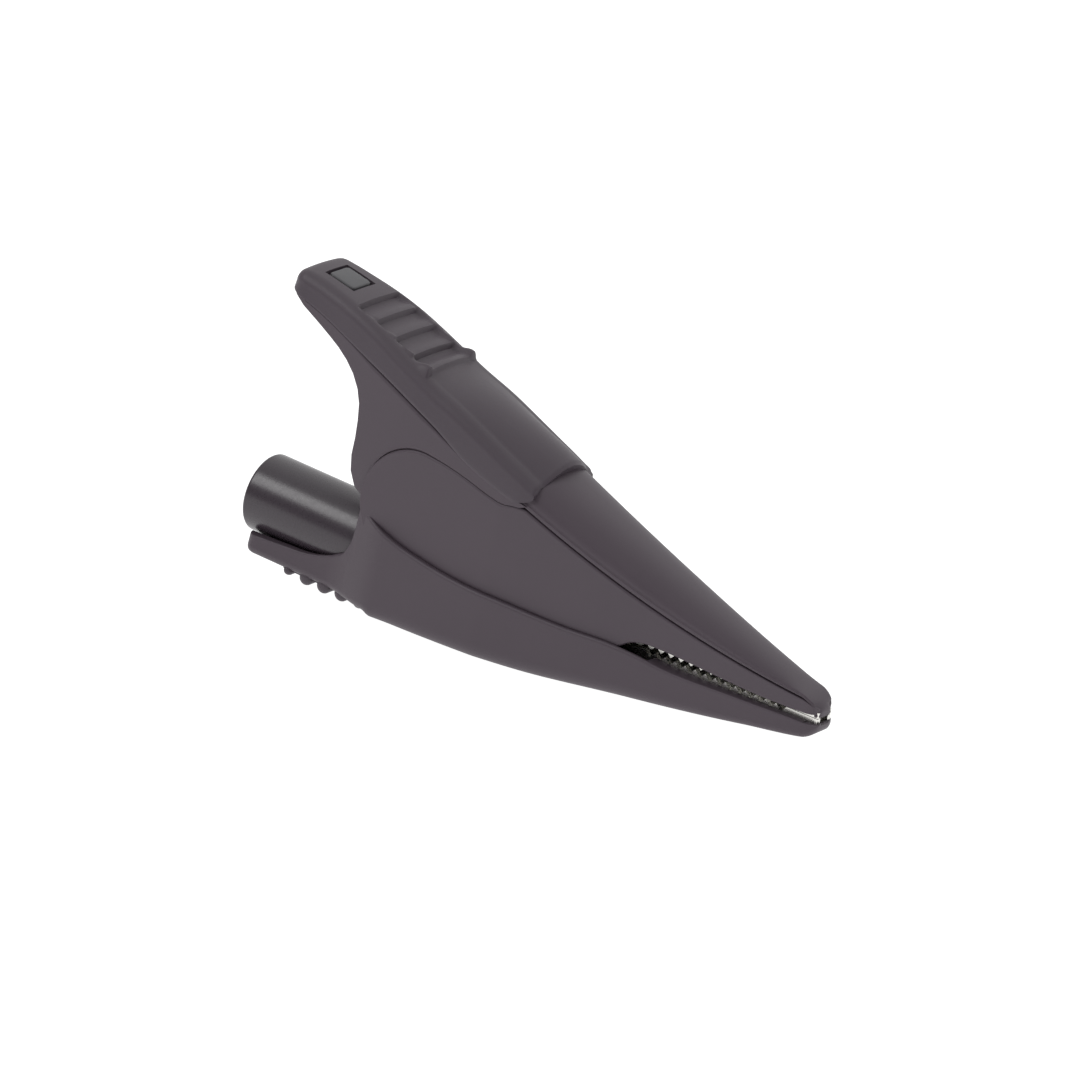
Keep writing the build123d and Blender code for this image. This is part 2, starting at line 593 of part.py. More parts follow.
with BuildPart() as lever_shell:
    add(upper_body.part)
    for hollow in (lever_hollow, neck_hollow, tail_trim, nose_hollow, pad_band):
        add(hollow.part, mode=Mode.SUBTRACT)
keep(lever_shell.part, "lever_shell")

WINDOW_AT = (6.85, 36.0)
with BuildPart() as thumb_pad:
    add(upper_body.part)
    add(pad_band.part, mode=Mode.INTERSECT)
    for rib in range(RIB_COUNT):
        step = RIB_START + rib * RIB_PITCH - 0.4
        here, ahead = [37.7 - 0.0135 * x**1.92 for x in (step, step + RIB_PITCH)]
        with BuildSketch(SIDE):
            end = step + RIB_PITCH
            Polygon((step, here + 2), (step, here - 0.6), (end, ahead + 0.1), (end, ahead + 2), align=None)
        extrude(amount=5.7, both=True, mode=Mode.SUBTRACT)
    with BuildSketch(PLAN):
        with Locations((WINDOW_AT[0], 0)):
            Rectangle(WINDOW, WINDOW)
    extrude(amount=TALL, mode=Mode.SUBTRACT)
keep(thumb_pad.part, "thumb_pad")

with BuildPart() as thumb_inlay:
    with BuildSketch(SIDE):
        with BuildLine():
            low, high = WINDOW_AT[0] - INLAY / 2, WINDOW_AT[0] + INLAY / 2
            base = below(TOP_LINE[1:3], PAD)
            slope = (base[1][1] - base[0][1]) / (base[1][0] - base[0][0])
            left, right = [base[0][1] + slope * (x - base[0][0]) for x in (low, high)]
            Polyline((low, left), (high, right), (high, right + 0.9), (low, left + 0.9), close=True)
        make_face()
    extrude(amount=INLAY / 2, both=True)
keep(thumb_inlay.part, "thumb_inlay")
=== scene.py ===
import bmesh
import bpy
import numpy as np
from mathutils import Matrix, Vector


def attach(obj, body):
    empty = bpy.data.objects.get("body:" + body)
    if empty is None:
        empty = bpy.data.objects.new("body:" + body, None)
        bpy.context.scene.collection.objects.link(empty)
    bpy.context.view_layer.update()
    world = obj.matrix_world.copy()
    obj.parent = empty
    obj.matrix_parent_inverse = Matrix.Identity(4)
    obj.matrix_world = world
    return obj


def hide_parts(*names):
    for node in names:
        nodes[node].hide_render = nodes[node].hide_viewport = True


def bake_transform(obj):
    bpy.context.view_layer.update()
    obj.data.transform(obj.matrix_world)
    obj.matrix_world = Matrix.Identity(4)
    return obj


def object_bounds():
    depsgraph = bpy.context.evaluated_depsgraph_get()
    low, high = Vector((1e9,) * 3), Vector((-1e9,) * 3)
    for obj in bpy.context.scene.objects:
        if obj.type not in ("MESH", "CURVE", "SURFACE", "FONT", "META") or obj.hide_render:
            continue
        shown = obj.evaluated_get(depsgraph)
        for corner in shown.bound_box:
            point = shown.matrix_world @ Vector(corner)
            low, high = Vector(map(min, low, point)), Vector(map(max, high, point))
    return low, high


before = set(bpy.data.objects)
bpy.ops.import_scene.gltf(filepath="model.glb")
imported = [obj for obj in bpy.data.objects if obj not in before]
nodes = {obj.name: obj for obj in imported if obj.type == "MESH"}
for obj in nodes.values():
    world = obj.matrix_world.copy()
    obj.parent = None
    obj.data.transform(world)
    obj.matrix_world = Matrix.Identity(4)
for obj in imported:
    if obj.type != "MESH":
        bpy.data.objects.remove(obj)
cad_box = [list(corner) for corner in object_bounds()]

# --- Lower shell ---------------------------------------------------------------
# The bottom half is one satin charcoal moulding with a fine spark-eroded grain: a trough with
# a slightly bulging belly, drawn in at the back to a finger rest under the socket's tube. Its
# rim stands proud of the cheeks that nest in it, and its collar rises round the tube.
MM = 0.001
MOUTH = -0.9  # the tube's open end, at the frame's origin
DIP = np.radians(7.0)  # the socket's axis dips this much when the clip lies on its belly
TAPER_START, LENGTH = 44.0, 101.0
LOWER_HALF, TIP_HALF, RIM_DRAFT = 9.15, 2.6, 0.4
REST_HALF, REST_END, REST_UNDER, REST_CORNER = 6.4, 0.9, -7.45, 1.7
FLARE = (15.5, 26.5)  # where the finger rest widens into the trough
KNEE, KNEE_STEP = (25.9, -7.9), 1.6
BELLY_CLIMB, BELLY_BULGE = 8.75, 1.65
LOWER_END, TIP_TURN, TIP_LIFT = 99.35, 2.2, 1.5
TIP_SIDE_TURN, TIP_SIDE_IN = 2.0, 1.75
COLLAR_PEAK = (20.5, 7.9)
TUBE_R, CRADLE_GAP = 6.0, 0.35
CRADLE_END, SEAT_END = 19.0, 27.62  # the open cradle, then the closed seat round the tube
WELL_TIP = 98.8


def placed(x, y, z):
    """Clip millimetres to the frame's metres: turned by DIP about the crosswise axis."""
    x, y, z = np.broadcast_arrays(x, y, z)
    along, up = np.cos(DIP), np.sin(DIP)
    return np.stack([(x - MOUTH) * along + z * up, y, z * along - (x - MOUTH) * up], axis=-1) * MM


def through(points, at):
    """A cubic Hermite curve through the points, its slopes the means of their neighbours'."""
    x, z = np.array(points, float).T
    slope = np.gradient(z, x)
    i = np.clip(np.searchsorted(x, at, side="right") - 1, 0, len(x) - 2)
    step = x[i + 1] - x[i]
    t = (at - x[i]) / step
    return (
        z[i] * (1 + 2 * t) * (1 - t) ** 2
        + z[i + 1] * t**2 * (3 - 2 * t)
        + step * t * (1 - t) * (slope[i] * (1 - t) - slope[i + 1] * t)
    )


def eased(low, high, at):
    """The cubic step from 0 at low to 1 at high, level at both ends."""
    t = np.clip((at - low) / (high - low), 0, 1)
    return t * t * (3 - 2 * t)


def rounded_off(x, end, run, depth):
    """A quarter ellipse at an end: 0 up to run before it, then down to depth at the end."""
    over = np.clip((x - end + run) / run, 0, 1)
    return depth * (1 - np.sqrt(1 - over**2))


def tapered(half, tip, x):
    """Half width: constant, then falling along a shallow parabola to the tip."""
    share = np.clip((x - TAPER_START) / (LENGTH - TAPER_START), 0, 1)
    return tip + (half - tip) * (1 - share) * (1 + share / 4)


def unit(vectors):
    return vectors / np.maximum(np.linalg.norm(vectors, axis=-1, keepdims=True), 1e-12)


def rolled(outer, inner, radius, axis):
    """Rounds both borders of a wall across one axis. Rows are added at quarter-circle
    angles a: each lies radius * (1 - sin a) in from the border and sinks by
    radius * (1 - cos a) into the wall."""
    o, i = np.moveaxis(outer, axis, 0), np.moveaxis(inner, axis, 0)
    turn = np.radians([90, 67.5, 45, 22.5, 0])[:, None, None]
    run, sink = radius * MM * (1 - np.sin(turn)), radius * MM * (1 - np.cos(turn))
    run, sink = np.concatenate([run, run[-1:] * 1.4]), np.concatenate([sink, sink[-1:]])

    def border(o0, o1, i0, i1):
        room = np.linalg.norm(o1 - o0, axis=-1, keepdims=True)
        fit = np.minimum(1, room / (radius * MM * 1.6))
        outside = o0 + fit * run * unit(o1 - o0) + fit * sink * unit(i0 - o0)
        return outside, i0 + fit * run * unit(i1 - i0)

    first_o, first_i = border(o[0], o[1], i[0], i[1])
    last_o, last_i = border(o[-1], o[-2], i[-1], i[-2])
    o = np.concatenate([first_o, o[1:-1], last_o[::-1]])
    i = np.concatenate([first_i, i[1:-1], last_i[::-1]])
    return np.moveaxis(o, 0, axis), np.moveaxis(i, 0, axis)


def wall(outer, inner, roll=0.0, ends=True):
    """A closed solid between two matching grids, its outer borders rounded by roll.
    Gives its vertices and its quads: both grids and the four strips between them."""
    if roll:
        outer, inner = rolled(outer, inner, roll, 1)
        if ends:
            outer, inner = rolled(outer, inner, roll, 0)
    rows, columns = outer.shape[:2]
    index = np.arange(rows * columns).reshape(rows, columns)
    under = index + rows * columns

    def quads(grid):
        return np.stack([grid[:-1, :-1], grid[1:, :-1], grid[1:, 1:], grid[:-1, 1:]], -1).reshape(-1, 4)

    strips = [np.stack([index[k], under[k]]) for k in (0, -1)]
    strips += [np.stack([index[:, k], under[:, k]]) for k in (0, -1)]
    faces = np.concatenate([quads(index), quads(under)[:, ::-1], *[quads(s) for s in strips]])
    return np.concatenate([outer.reshape(-1, 3), inner.reshape(-1, 3)]), faces


def both_sides(y, z):
    """Carries a half section, from its rim to the middle, over to the other side."""
    return np.concatenate([y, -y[:, -2::-1]], 1), np.concatenate([z, z[:, -2::-1]], 1)


def piece(name, solids, body, replaced, sharp=38):
    """One mesh object from closed solids, doubles merged and all faces turned outwards."""
    mesh = bpy.data.meshes.new(name)
    counts = np.cumsum([0] + [len(v) for v, _ in solids])
    faces = np.concatenate([f + start for (_, f), start in zip(solids, counts)])
    mesh.from_pydata(np.concatenate([v for v, _ in solids]), [], faces)
    work = bmesh.new()
    work.from_mesh(mesh)
    bmesh.ops.remove_doubles(work, verts=work.verts, dist=1e-6)
    bmesh.ops.dissolve_degenerate(work, edges=work.edges, dist=1e-7)
    bmesh.ops.recalc_face_normals(work, faces=work.faces)
    work.to_mesh(mesh)
    work.free()
    mesh.shade_smooth()
    mesh.set_sharp_from_angle(angle=np.radians(sharp))
    made = bpy.data.objects.new(name, mesh)
    bpy.context.collection.objects.link(made)
    if body:
        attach(made, body)
    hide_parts(*replaced)
    return made


def belly(x):
    """The belly climbs from knee to tip, and sags between them as a parabola; in front
    of its middle it runs a little higher."""
    share = (x - KNEE[0]) / (LENGTH - KNEE[0])
    sag = KNEE[1] + BELLY_CLIMB * share - BELLY_BULGE * 4 * share * (1 - share)
    return sag + 0.5 * eased(50, 70, x) - 0.25 * eased(88, 97, x)


def rim(x):
    """Side view of the rim: the finger rest's edge, the collar's steep rise, the long ledge."""
    rest = [(1.4, -4.5), (8, -4.0), (12, -3.6), (14.5, -2.9), (17, -1.7), (19, 0.2), (20, 3.2), COLLAR_PEAK]
    ledge = [COLLAR_PEAK, (24, 6.4), (28, 5.05), (33, 4.1), (38, 3.5), (48, 3.2), (58, 3.1), (66, 3.4)]
    ledge += [(70, 3.2), (74, 2.75), (86, 2.7), (96, 2.8), (101, 2.75)]
    rise, run = through(rest, np.minimum(x, COLLAR_PEAK[0])), through(ledge, np.maximum(x, COLLAR_PEAK[0]))
    nose_down = 0.9 * eased(98.6, 100.2, x) ** 2
    return np.where(x < COLLAR_PEAK[0], rise, run) - nose_down


def underside(x):
    """Finger rest's underside, a short step at the knee, then the belly and the lifted tip."""
    step = REST_UNDER + (belly(x) - REST_UNDER) * eased(KNEE[0] - KNEE_STEP, KNEE[0], x)
    return np.where(x < KNEE[0], step, belly(x)) + rounded_off(x, LOWER_END, TIP_TURN, TIP_LIFT)


def lower_half(x):
    """Half width: rounded end of the finger rest, the flare to the hinge, the taper."""
    flare = REST_HALF + (LOWER_HALF - REST_HALF) * eased(*FLARE, x)
    corner = rounded_off(-x, -REST_END, REST_CORNER, REST_CORNER)
    tip = rounded_off(x, LOWER_END, TIP_SIDE_TURN, TIP_SIDE_IN)
    return np.where(x < 30, flare, tapered(LOWER_HALF, TIP_HALF, x)) - corner - tip


x = np.concatenate([
    REST_END + REST_CORNER * (1 - np.cos(np.linspace(0, np.pi / 2, 9))),
    np.linspace(5, 15, 11), np.linspace(15.5, CRADLE_END, 10), np.linspace(19.3, COLLAR_PEAK[0], 9),
    np.linspace(21, 26.9, 17), [27.6, 27.65], np.linspace(28.5, 71.5, 60), [71.9, 72.1],
    np.linspace(73, 97.6, 36), LOWER_END - TIP_TURN * (1 - np.sin(np.linspace(0.1, np.pi / 2, 12))),
])[:, None]
half, top, low = lower_half(x), rim(x), underside(x)
fillet = 1.2 + 0.9 * eased(20, 30, x) - 1.3 * eased(60, 100, x)
down = np.concatenate([[0.0, 0.14], np.linspace(0.24, 1, 12)])[None, :]
turn = np.radians(np.linspace(10, 90, 9))[None, :]
across = np.linspace(0.9, 0, 7)[None, :]
draft = RIM_DRAFT * half / LOWER_HALF * (1 - down)
outer_y = np.concatenate([half - draft, half - fillet * (1 - np.cos(turn)), (half - fillet) * across], 1)
outer_z = np.concatenate([
    top + (low + fillet - top) * down, low + fillet * (1 - np.sin(turn)), low + 0 * across,
], 1)
# inside: a cradle under the tube, the tube's seat in the collar, then the jaws' well
cradled, seated = x < CRADLE_END, x < SEAT_END
cradle = TUBE_R + CRADLE_GAP * (1 - eased(13, CRADLE_END, x))
narrow = 4.25 - 2.5 * np.clip((x - 60) / 39, 0, 1)
well_half = np.where(x < 72, tapered(LOWER_HALF - 1.15, TIP_HALF - 0.15, x), narrow)
well_floor = -6.45 + 8.1 * np.clip((x - 27.6) / 71.4, 0, 1)
closed = eased(WELL_TIP - 0.2, WELL_TIP, x)  # the well ends in a front wall
start = np.arcsin(np.clip(-top / cradle, 0, 1))
quarter = np.linspace(0, 1, 12)[None, :]
around = np.where(cradled, start + (np.pi / 2 - start) * quarter, np.pi / 2 * quarter)
shelf = np.where(cradled, cradle * np.cos(start), np.minimum(well_half, half - 0.6))
shelf_z = np.where(cradled, top, np.where(seated, 0.0, well_floor + 1.2))
drop = np.concatenate([[0.0, 0.2], np.linspace(0.3, 1, 12)])[None, :]
arm = np.where(seated, np.where(cradled, cradle, TUBE_R), np.maximum(well_half - 0.2, 0.5))
deep = np.where(seated, arm, 1.2)
bottom = shelf_z * (x >= CRADLE_END)
middle_y, middle_z = 0.01 * arm * across[:, 3:], bottom - deep + 0 * across[:, 3:]
inner_y = np.concatenate([shelf + 0 * drop, arm * np.cos(around), middle_y], 1)
inner_z = np.concatenate([top + (shelf_z - top) * drop, bottom - deep * np.sin(around), middle_z], 1)
shut_y = half * 0.6 * np.linspace(1, 0, inner_y.shape[1])[None, :]
inner_y = inner_y * (1 - closed) + closed * shut_y
inner_z = inner_z * (1 - closed) + closed * (top - 0.02)
outside, inside = placed(x, *both_sides(outer_y, outer_z)), placed(x, *both_sides(inner_y, inner_z))
trough = wall(outside, inside, roll=0.45, ends=False)
lower_shell = piece("lower_shell_skin", [trough], "lower_half", ["lower_shell"])


class Wire:
    """A socket in a material. Arithmetic on wires and numbers adds Math nodes."""

    def __init__(self, tree, socket=None):
        self.tree, self.socket = tree, socket

    def add(self, kind, settings, sockets, out=0):
        """Adds a node of that kind: its settings, then the values or wires of its sockets."""
        node = self.tree.nodes.new(kind)
        for key, value in settings.items():
            setattr(node, key, value)
        for key, value in sockets.items():
            if isinstance(value, Wire):
                self.tree.links.new(value.socket, node.inputs[key])
            else:
                node.inputs[key].default_value = value
        return Wire(self.tree, node.outputs[out])

    def math(self, operation, first, second):
        return self.add("ShaderNodeMath", {"operation": operation}, {0: first, 1: second})

    def __add__(self, other):
        return self.math("ADD", self, other)

    def __sub__(self, other):
        return self.math("SUBTRACT", self, other)

    def __rsub__(self, other):
        return self.math("SUBTRACT", other, self)

    def __mul__(self, other):
        return self.math("MULTIPLY", self, other)

    __radd__, __rmul__ = __add__, __mul__


def make_material(name, build, **fixed):
    """A material made by build(wire), which gives the Principled sockets that vary. Its
    fixed sockets are set straight on the shader."""
    material = bpy.data.materials.new(name)
    material.use_nodes = True
    tree = material.node_tree
    shader = tree.nodes["Principled BSDF"]
    for key, value in fixed.items():
        shader.inputs[key.replace("_", " ")].default_value = value
    for key, value in build(Wire(tree)).items():
        tree.links.new(value.socket, shader.inputs[key])
    return material


def dress(thing, material):
    thing.data.materials.clear()
    thing.data.materials.append(material)


def noise(wire, size, detail=3.0):
    """Noise whose blots are about size millimetres across, on object coordinates."""
    place = wire.add("ShaderNodeTexCoord", {}, {}, out="Object")
    sockets = {"Vector": place, "Scale": 1 / (size * MM), "Detail": detail}
    return wire.add("ShaderNodeTexNoise", {}, sockets)


def mixed(wire, share, dark, light):
    """The share's blend from the dark to the light shade."""
    sockets = {0: share, 6: (*dark, 1), 7: (*light, 1)}
    return wire.add("ShaderNodeMix", {"data_type": "RGBA"}, sockets, out=2)


def grained(dark, light, rough, grain, depth):
    """A moulding: two shades mixed by large blots, and a bump of fine grain."""
    def build(wire):
        drift, fine = noise(wire, 14.0), noise(wire, grain, 2.0)
        gloss = rough + (fine - 0.5) * 0.12 + (drift - 0.5) * 0.06
        bump = wire.add("ShaderNodeBump", {}, {"Height": fine, "Strength": 0.6, "Distance": depth * MM})
        return {"Base Color": mixed(wire, drift, dark, light), "Roughness": gloss, "Normal": bump}
    return build


satin = grained((0.052, 0.038, 0.050), (0.062, 0.046, 0.059), 0.5, 0.22, 0.012)
charcoal = make_material("charcoal_shell", satin, Specular_IOR_Level=0.45)
dress(lower_shell, charcoal)

# --- Finger grip -----------------------------------------------------------------
# A softer strip is moulded under the finger rest, with five round cross ribs whose
# domed ends show from the side.
GRIP_RIB_HALF, GRIP_DOME = 6.25, 0.9
GRIP_RIBS = [(9.0, 0.8), (12.25, 1.15), (15.5, 1.2), (18.75, 1.2), (22.0, 1.05)]  # place, radius
STRIP_HALF = 5.2


def loft(rings):
    """A closed solid through closed rings of points. Each end narrows to the middle of its
    ring, where merging doubles makes it a point."""
    ends = [np.repeat(ring.mean(0, keepdims=True), len(ring), 0)[None] for ring in (rings[0], rings[-1])]
    rings = np.concatenate([ends[0], rings, ends[1]])
    index = np.arange(rings.shape[0] * rings.shape[1]).reshape(rings.shape[:2])
    after = np.roll(index, -1, axis=1)
    faces = np.stack([index[:-1], index[1:], after[1:], after[:-1]], -1).reshape(-1, 4)
    return rings.reshape(-1, 3), faces


def cross_rib(x, z, radius):
    """A bar across the clip: circles along Y whose radius closes as an ellipse at each end."""
    lean = np.linspace(-np.pi / 2 + 0.08, np.pi / 2 - 0.08, 18)[:, None]
    y = np.sign(lean) * (GRIP_RIB_HALF - GRIP_DOME) + GRIP_DOME * np.sin(lean)
    a = np.linspace(0, 2 * np.pi, 24, endpoint=False)[None, :]
    r = radius * np.cos(lean)
    return loft(placed(x + r * np.cos(a), y, z + r * np.sin(a)))


x = np.linspace(GRIP_RIBS[0][0] - 1.3, GRIP_RIBS[-1][0] + 0.9, 30)[:, None]
y = np.linspace(-STRIP_HALF, STRIP_HALF, 12)[None, :]
strip = wall(placed(x, y, REST_UNDER - 0.4), placed(x, y, REST_UNDER + 0.2), roll=0.2)
ribs = [cross_rib(at, REST_UNDER - 0.1, radius) for at, radius in GRIP_RIBS]
grip = piece("finger_grip_ribs", [strip, *ribs], "lower_half", ["finger_grip"])

soft = grained((0.051, 0.039, 0.050), (0.061, 0.047, 0.059), 0.5, 0.3, 0.012)
rubbery = make_material("soft_pad", soft, Specular_IOR_Level=0.42)
dress(grip, rubbery)

# --- Cheeks ------------------------------------------------------------------------
# Two smooth side walls of the upper half, joined by a web under the nose. Their round
# shoulders are concentric with the hinge and slide inside the lower shell.
PIVOT = (30.0, 10.0)
DISC_R = 9.7
CHEEK_HALF, CHEEK_TIP, CHEEK_WALL = 7.8, 2.3, 1.1
CHEEK_END = 98.85
NOSE_END, NOSE_ROUND, NOSE_DROP = 99.15, 2.8, 1.5  # the tip's rounding, shared with the nose


def groove(x):
    """Side view of the seam between the cheeks and the nose."""
    share = (x - 46) / (LENGTH - 46)
    return 18.6 - 21.4 * share + 8.4 * share**2


def cheek_top(x):
    """The disc's upper arc, the hollow in front of it, then the seam."""
    arc = PIVOT[1] + np.sqrt(np.maximum(DISC_R**2 - (x - PIVOT[0]) ** 2, 0))
    hollow = [(30, 19.7), (34, 19.35), (38, 18.6), (42, 17.6)]
    hollow += [(44.5, 17.3), (46.5, 17.75), (48, 17.83), (50, 17.08)]
    front = np.where(x < 48, through(hollow, np.clip(x, 30, 49)), groove(x))
    return np.where(x < PIVOT[0], arc, front)


def cheek_bottom(x):
    """The disc's lower arc, the edge inside the lower shell, the edge over the teeth."""
    arc = PIVOT[1] - np.sqrt(np.maximum(DISC_R**2 - (x - PIVOT[0]) ** 2, 0))
    edge = [(30, 0.3), (38, 0.8), (50, 0.5), (62, 1.6), (66, 2.6), (68.5, 4.4), (70.5, 5.0)]
    edge += [(73, 5.1), (77, 4.95), (83, 4.5), (90, 4.1), (96, 4.1), (101, 4.3)]
    return np.where(x < PIVOT[0], arc, through(edge, np.clip(x, 30, 101)))


shoulder_x = PIVOT[0] - DISC_R * np.cos(np.linspace(0.06, np.pi / 2, 24))
x = np.concatenate([shoulder_x, np.linspace(31, CHEEK_END, 100)])[:, None]
up = np.concatenate([[0.0], np.linspace(0.1, 0.9, 13), [1.0]])[None, :]
top = cheek_top(x) - rounded_off(x, NOSE_END, NOSE_ROUND, NOSE_DROP)
z = cheek_bottom(x) + (top - cheek_bottom(x)) * up
over = np.clip((x - CHEEK_END + 1.6) / 1.6, 0, 1)
half = tapered(CHEEK_HALF, CHEEK_TIP, x) - (1 - np.sqrt(1 - 0.98 * over**2))
thick = CHEEK_WALL - 0.45 * eased(80, 98, x)
plates = [
    wall(placed(x, side * half, z), placed(x, side * (half - thick), z), roll=0.35)
    for side in (1, -1)
]
x = np.linspace(46.5, CHEEK_END - 0.8, 60)[:, None]
web_y = np.linspace(-1, 1, 9)[None, :] * (tapered(CHEEK_HALF, CHEEK_TIP, x) - 0.45)
web = wall(placed(x, web_y, groove(x) - 0.1), placed(x, web_y, groove(x) - 1.0))
cheeks = piece("cheek_skin", [*plates, web], "upper_half", ["cheek_shell"])
dress(cheeks, charcoal)

# --- Lever and nose ------------------------------------------------------------------
# The upper half's back: a long nose with a rounded crown runs down to the jaw tip, and
# behind the hinge two walls rise from the cheeks' shoulders and carry the lever's roof.
NOSE_START = 44.0
BEAD, BEAD_STEP, FOOT_ROLL = 0.75, 0.16, 0.3
REAR_END, REAR_CORNER = 0.4, 2.5
NECK_WALL, NECK_TUCK = 1.9, 0.45


def crown(x):
    """Side view of the nose's crown; a quarter ellipse rounds off its tip."""
    share = (x - NOSE_START) / (LENGTH - NOSE_START)
    line = 24.75 - 19.1 * share - 2.0 * share * (1 - share)
    return line - rounded_off(x, NOSE_END, NOSE_ROUND, NOSE_DROP) - 0.25 * eased(90, 98, x)


def lever_half(x):
    """Half width of the lever: round rear corners, wider towards the hinge."""
    line = [(0, 6.0), (6, 6.2), (13, 6.8), (20, 7.35), (28, 7.7), (34, 7.8), (44, 7.8), (54, 7.7)]
    return through(line, np.clip(x, 0, 54)) - rounded_off(-x, -REAR_END, REAR_CORNER, REAR_CORNER)


def ring_of(y, z):
    """Closes a half section, given from its lowest to its highest point on the middle
    plane, by its mirror image."""
    return np.concatenate([y, -y[:, -2:0:-1]], 1), np.concatenate([z, z[:, -2:0:-1]], 1)


tip_x = NOSE_END - NOSE_ROUND * (1 - np.sin(np.linspace(0.1, np.pi / 2, 10)))
x = np.concatenate([np.linspace(44.5, NOSE_END - NOSE_ROUND - 0.3, 90), tip_x])[:, None]
half = tapered(CHEEK_HALF, CHEEK_TIP, x) - 0.06 - rounded_off(x, NOSE_END, 1.9, 1.5)
base, top = groove(x) + 0.15, crown(x)
bead = BEAD - 0.35 * eased(70, 99, x)
base = base + (3.75 - base) * eased(98.4, 98.55, x)  # its end closes the cheeks
base = np.minimum(base, top - bead - 0.2)
quarter = np.radians(np.linspace(0, 90, 5))[None, :]
foot_y = np.concatenate([half * np.array([[0.0, 0.5, 0.85]]), half - FOOT_ROLL * (1 - np.sin(quarter))], 1)
foot_z = np.concatenate([base + 0 * foot_y[:, :3], base + FOOT_ROLL * (1 - np.cos(quarter))], 1)
bead_y = np.concatenate([half, half - 0.02, half - BEAD_STEP * 0.6, half - BEAD_STEP], 1)
bead_z = np.concatenate([base + bead * 0.6, base + bead * 0.9, base + bead, base + bead + 0.1], 1)
a = np.linspace(0, np.pi / 2, 22)[None, 1:]
arch_y = (half - BEAD_STEP) * np.cos(a) ** 0.9
arch_z = base + bead + 0.1 + (top - base - bead - 0.1) * np.sin(a)
y = np.concatenate([foot_y, bead_y, arch_y], 1)
z = np.concatenate([foot_z, bead_z, arch_z], 1)
nose = loft(placed(x, *ring_of(y, z)))


def border(x):
    """Side view of the pad's lower border, where the neck's walls end."""
    line = [(-1, 34.9), (8, 32.5), (18.3, 28.8), (28.9, 24.6), (36.3, 21.5), (45.2, 19.1), (53, 17.4)]
    return through(line, np.clip(x, -1, 53))


# the neck's lower edge, and at what length along the pad each of its ribs of points ends
edge = [(1.5, 34.1, 1.5), (3.6, 32.85, 3.8), (6.8, 31.3, 7.2), (9.2, 30.15, 9.7), (11.2, 29.1, 12.2)]
edge += [(13, 27.85, 14.2), (14.6, 26.3, 15.8), (15.9, 24.3, 17.0), (16.7, 22.1, 17.9)]
edge += [(17.0, 19.6, 18.7), (17.1, 17, 19.4), (17.0, 14.2, 20.1), (17.3, 11.8, 20.7)]
edge += [(18.3, 9.7, 21.2), (20.35, 8.5, 21.9)]
for k, t in enumerate(np.linspace(0.03, np.pi / 2, 14)):
    edge.append((PIVOT[0] - DISC_R * np.cos(t), PIVOT[1] + DISC_R * np.sin(t), 22.4 + 8.6 * k / 13))
for at in (32, 34, 36, 38, 40, 42, 43.5, 44.7, 46, 47.5):
    edge.append((at, float(cheek_top(np.array(at))), at + 1.0))
edge_x, edge_z, end_x = np.array(edge).T[:, :, None]
up = np.concatenate([[0.0], np.linspace(0.14, 0.88, 12), [1.0]])[None, :]
x = edge_x + (end_x - edge_x) * up
z = edge_z + (border(end_x) - edge_z) * up
tuck = NECK_TUCK * (1 - eased(8.0, 14.0, z)) * (1 - eased(20, 24, x))  # clear of the collar
half = lever_half(x) - 0.04 - tuck
neck = [
    wall(placed(x, side * half, z), placed(x, side * (half - NECK_WALL), z), roll=0.5)
    for side in (1, -1)
]


def pad_top(x):
    """Side view of the pad's crest, which rounds over the lever's rear end."""
    line = [(-1, 37.9), (1.4, 37.85), (3.8, 37.7), (8, 37.0), (12.4, 36.0), (16.7, 34.65)]
    line += [(21.2, 32.85), (25.4, 31.1), (28.1, 30.0), (34, 28.05), (40, 25.8), (45, 23.9), (52, 21.3)]
    return through(line, x) - rounded_off(-x, -REAR_END, 2.2, 2.0)


x = np.linspace(2.4, 48.5, 60)[:, None]
y = np.linspace(-1, 1, 13)[None, :] * (lever_half(x) - 1.6)
roof = wall(placed(x, y, pad_top(x) - 1.5), placed(x, y, pad_top(x) - 2.8))
lever = piece("lever_skin", [nose, *neck, roof], "upper_half", ["lever_shell"])
dress(lever, charcoal)

# --- Thumb pad -----------------------------------------------------------------------
# A softer cap wraps the lever's roof and laps over its sides. Five saw-tooth ribs stop
# the thumb, the last one the tallest, and a square window near the end frames a plate.
PAD_REAR, PAD_LAST, PAD_FRONT, PAD_SWEEP = 0.45, 50.4, 50.1, 5.0
STEPS = [12.2 + 3.62 * k for k in range(5)]
STEP_DROP, LAST_DROP, STEP_FACE, STEP_CLIMB = 0.75, 1.25, 0.25, 3.1
CAMBER = 2.3  # how far the pad bows up across its front end
SHOULDER, SIDE_LEAN = 2.1, 0.3
WINDOW, WINDOW_AT, WINDOW_DEPTH = 2.75, 6.85, 0.9


def saw(x, y):
    """The ribs' height over their valleys: each climbs as 1 - cos of half a turn, then drops
    within STEP_FACE. Valleys lie STEP_DROP under the pad's own surface, into which they fade
    short of the shoulders; the last rib stands over it and reaches furthest out."""
    height = 0
    for k, step in enumerate(STEPS[1:]):
        drop, reach = (LAST_DROP, 6.2) if step == STEPS[-1] else (STEP_DROP, 4.9 + 0.2 * k)
        climb = np.clip((x - step + STEP_CLIMB) / STEP_CLIMB, 0, 1)
        fall = np.clip((x - step) / STEP_FACE, 0, 1)
        fade = 1 - eased(reach - 0.5, reach + 0.3, np.abs(y))
        height = height + drop * (1 - np.cos(np.pi * climb)) / 2 * (1 - fall) * fade
    begun, ended = [np.clip((x - step) / STEP_FACE, 0, 1) for step in (STEPS[0], STEPS[-1])]
    return height - STEP_DROP * begun * (1 - ended) * (1 - eased(4.5, 5.3, np.abs(y)))


def window(x, y):
    """1 inside the square window, 0 outside."""
    return (np.maximum(np.abs(x - WINDOW_AT), np.abs(y)) < WINDOW - 0.01) * 1.0


